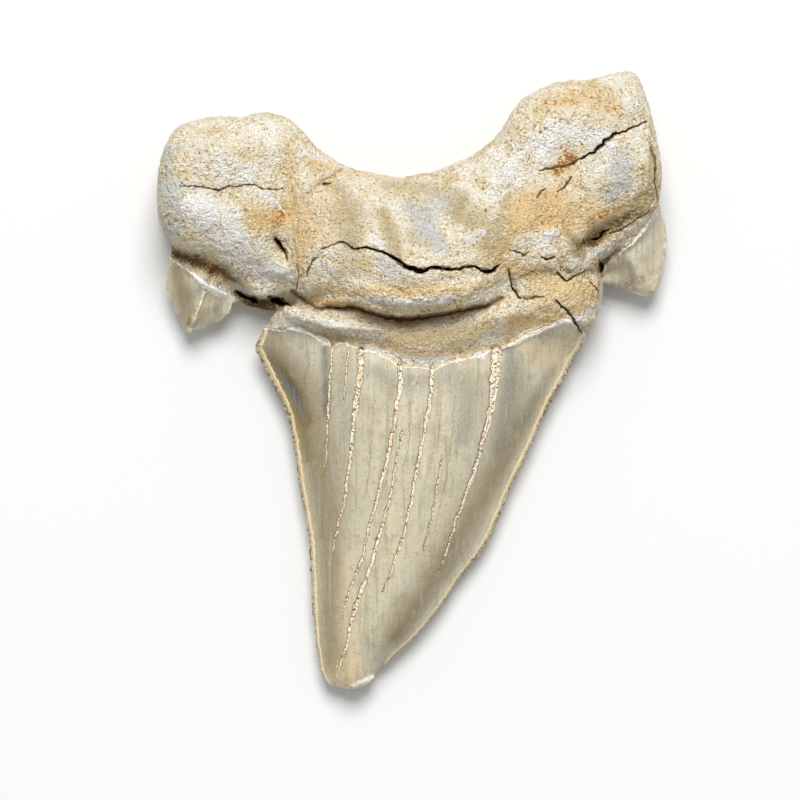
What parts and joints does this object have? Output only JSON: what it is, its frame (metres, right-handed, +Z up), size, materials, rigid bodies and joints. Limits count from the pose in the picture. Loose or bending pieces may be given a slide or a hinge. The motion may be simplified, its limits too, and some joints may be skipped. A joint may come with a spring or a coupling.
{
  "type": "fossil shark tooth",
  "caption": "Fossil shark tooth with a broad bladed crown, small side cusps and a thick two-lobed root, lying on its flat outer face.",
  "frame": {"origin": "middle of the tooth's footprint on the surface it lies on, at the height of that surface", "axes": "+Y from the crown's tip towards the root, +Z up out of the rounded inner face, +X to the right when the tooth is seen from above with its root at the top"},
  "size_m": [0.0614, 0.0746, 0.0181],
  "materials": {
    "fossil": "dull mineralised root with rust stains, satin enamel on the crown and cusps"
  },
  "bodies": {
    "root": {"shark_tooth": "fossil"}
  },
  "joints": []
}
